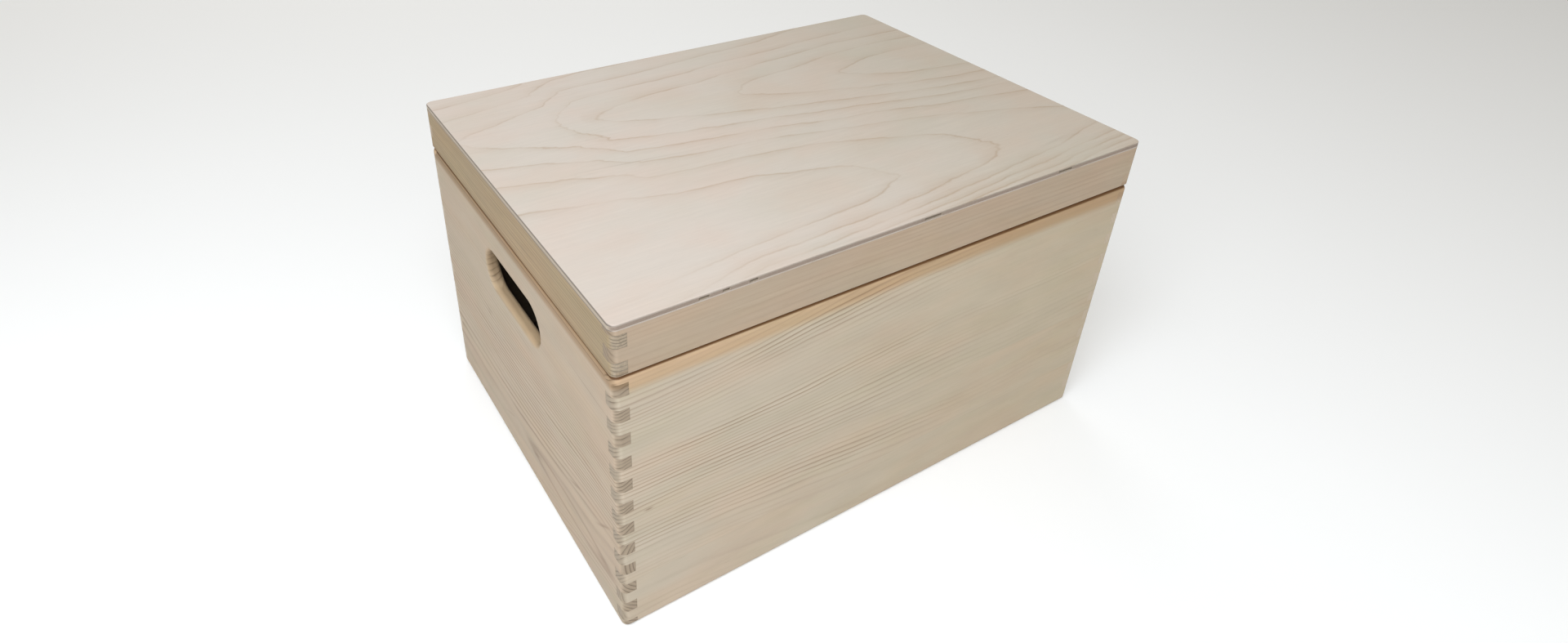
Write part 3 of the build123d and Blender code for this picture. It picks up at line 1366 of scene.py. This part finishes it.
def body_boards() -> list[Board]:
    """The four walls. The left one's pith lies just inside the box.

    Returns:
        The boards.
    """
    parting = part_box("front_board")[1].z / MM
    half = half_size()
    # The edges' tints are painted bounce light and shade under the lid, and their dark arrises a
    # painted shadow of the parting gap.
    shaded_tan = (0.77, 0.65, 0.51)
    long_edge = Edge(
        half, parting, 14.5, 1.85, far_bounce_and_shade=(0.86, 0.70, 0.54), gap_shadow_colour=(0.33, 0.22, 0.12)
    )
    short_edge = Edge(half, parting, 10.0, 1.65, shaded_tan, (0.66, 0.55, 0.42), shoulder=0.5)
    far_edge = Edge(half, parting, 14.0, 1.8, (0.74, 0.60, 0.46), shaded_tan, shoulder=0.6)
    hole = (parting - 42.0, 44.5, 15.0)
    front = PineFinish(
        Grain.ALONG_X,
        pith=(40.0, -200.0),
        ring=2.6,
        far_faint=0.2,
        contrast=1.12,
        # Painted shade toward the right end.
        drift=(0.965, 0.955, 0.895),
        seed=1.7,
        edge=long_edge,
        fan=(113.0, 0.38),
        bands=(
            Band(172.0, 10.0, 0.80),
            Band(133.0, 4.0, 0.85),
            Band(110.0, 13.0, 0.75),
            Band(74.0, 10.0, 0.60),
        ),
        glue_lines=(41.0, 92.0),
        swirls=(
            Swirl(-100, 132, 75, 7, 0.8),
            Swirl(-60, 186, 110, 9, 0.3),
            Swirl(60, 178, 60, 8, 0.5),
        ),
        flecks=(Fleck(-181.5, 96.0, 2.4, 0.7, 0.0, 0.6),),
    )
    left = PineFinish(
        Grain.ALONG_Y,
        pith=(58.0, -171.0),
        ring=2.5,
        seed=4.2,
        early=LEFT_EARLY,
        late=LEFT_LATE,
        edge=short_edge,
        hole=hole,
        end=(0.69, 0.67, 0.64),
        fan=(150.0, 0.35),
        bands=(Band(104.0, 34.0, 0.85), Band(72.0, 7.0, 0.45), Band(33.0, 10.0, 0.3)),
        swirls=(Swirl(-68, 32, 56, 7, 1.0), Swirl(-105, 66, 30, 8, 0.25)),
        flecks=(
            Fleck(-116, 169, 20, 0.7, 0.03, 0.20),
            Fleck(-122, 125, 14, 0.6, -0.17, 0.14),
            Fleck(-124, 70, 8, 1.2, -0.75, 0.38),
            Fleck(-85, 67, 9, 1.2, -0.40, 0.34),
            Fleck(35, 29, 9, 0.9, -0.40, 0.16),
            Eye(-68, 33, 60, 7.5, 0.30),
            Fleck(-117, 34, 7, 1.6, -0.25, 0.22),
            Fleck(-16, 31, 8, 1.5, -0.40, 0.22),
            Fleck(54, 110, 4, 3.2, 0.0, 0.12),
            Fleck(-140.4, 13, 1.0, 1.7, -1.0, 0.85),
        ),
    )
    right = PineFinish(
        Grain.ALONG_Y,
        pith=(150.0, 120.0),
        ring=2.4,
        seed=8.9,
        edge=far_edge,
        hole=hole,
        end=FAR_END,
        end_rings=0.25,
        bands=(Band(120.0, 20.0, 0.5), Band(40.0, 16.0, 0.4)),
        glue_lines=(88.0,),
        swirls=(Swirl(40, 110, 60, 12, 1.5),),
    )
    back = PineFinish(
        Grain.ALONG_X,
        pith=(-30.0, 60.0),
        ring=2.6,
        seed=12.3,
        edge=long_edge,
        end=FAR_END,
        end_rings=0.25,
        bands=(Band(160.0, 14.0, 0.5), Band(95.0, 18.0, 0.5), Band(25.0, 12.0, 0.4)),
        glue_lines=(63.0, 131.0),
        swirls=(Swirl(30, 90, 90, 14, 2.0), Swirl(-120, 40, 60, 9, 1.5)),
    )
    walls = {"front": front, "left": left, "right": right, "back": back}
    return [Board(f"{side}_board", "box", wall) for side, wall in walls.items()]


def lid_rails() -> list[Board]:
    """The four rails. Their wood is a little darker than the walls'.

    Returns:
        The boards.
    """
    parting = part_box("lid_front_rail")[0].z / MM
    half = half_size()
    # The rails' lower edges carry a painted shadow of the parting gap, and the short rails painted
    # shade above it.
    long_edge = Edge(half, height=parting, depth=0.0, gap_shadow=0.7, reach=0.5)
    tint = (0.86, 0.80, 0.74)
    short_edge = Edge(half, parting, 4.5, 0.9, tint, tint, reach=0.5)
    wood = {"early": RAIL_EARLY, "late": RAIL_LATE}
    far_wood = {**wood, "end": FAR_END, "end_rings": 0.25}
    front = PineFinish(
        Grain.ALONG_X, (180.0, -110.0), 2.9, 21.5, long_edge, faint=0.32, streaky=0.20, **wood
    )
    left = PineFinish(
        Grain.ALONG_Y,
        pith=(252.0, -192.0),
        ring=2.3,
        seed=24.1,
        early=SIDE_RAIL_EARLY,
        late=SIDE_RAIL_LATE,
        edge=short_edge,
        end=(0.95, 1.02, 1.25),
        end_rings=1.3,
        faint=0.9,
        streaky=0.70,
    )
    right = PineFinish(Grain.ALONG_Y, (260.0, 150.0), 2.4, 27.7, short_edge, **far_wood)
    back = PineFinish(Grain.ALONG_X, (250.0, 100.0), 2.1, 31.9, long_edge, **far_wood)
    rails = {"front": front, "left": left, "right": right, "back": back}
    return [Board(f"lid_{side}_rail", "lid", rail) for side, rail in rails.items()]


def main() -> None:
    """Build every piece in order, then the studio."""
    logging.basicConfig(level=logging.INFO, format="%(name)s: %(message)s")
    for board in body_boards() + lid_rails():
        board.build()
    face = VeneerFinish(
        valley=-101.0,
        ridge=55.0,
        ridge_slope=-0.08,
        rise=4.9,
        lower=2.2,
        pointed=1.3,
        valley_rings=((-200, 0.80), (-60, 0.95), (22, 1.5), (112, 2.5), (200, 3.3)),
        ridge_rings=((-200, -0.35), (-132, 0.6), (-110, 1.6), (2, 2.6), (95, 3.6), (200, 4.4)),
        seed=3.4,
        # Painted shade toward the right end of the lid.
        drift=(0.90, 0.895, 0.845),
        quiet=(-175.0, -125.0, 60.0),
        flecks=(Fleck(-113, -4.5, 28, 0.6, -0.10, 0.18), Fleck(150, -116, 16, 1.2, 0.15, 0.10)),
    )
    back = VeneerFinish(
        valley=-60.0,
        ridge=90.0,
        ridge_slope=0.05,
        rise=3.6,
        lower=1.4,
        pointed=0.8,
        valley_rings=((-200, 0.2), (-40, 1.1), (90, 2.4), (200, 3.2)),
        ridge_rings=((-200, 0.6), (-60, 1.4), (60, 3.1), (200, 4.2)),
        seed=7.7,
    )
    core = CoreFinish(long_edge=(0.42, 0.35, 0.275), cut_edge=(0.26, 0.205, 0.165), seed=2.6)
    PlywoodTop().build(face, back, core)
    bottom = VeneerFinish(
        valley=-40.0,
        ridge=110.0,
        ridge_slope=-0.04,
        rise=4.2,
        lower=1.6,
        pointed=1.0,
        valley_rings=((-200, -0.4), (-90, 0.8), (60, 1.7), (200, 3.0)),
        ridge_rings=((-200, 0.0), (-20, 1.2), (110, 2.3), (200, 3.4)),
        seed=11.2,
    )
    Bottom().build(bottom)
    for name, seed in (("left_hinge", 1.3), ("right_hinge", 5.9)):
        ButtHinge(name, seed).build()
    Studio(eye=Vector((-0.3407, -0.4577, 0.5033)), aim=Vector((-0.0202, 0.0311, 0.1405))).build()
    bpy.context.scene.view_settings.view_transform = "Standard"


if __name__ == "__main__":
    main()
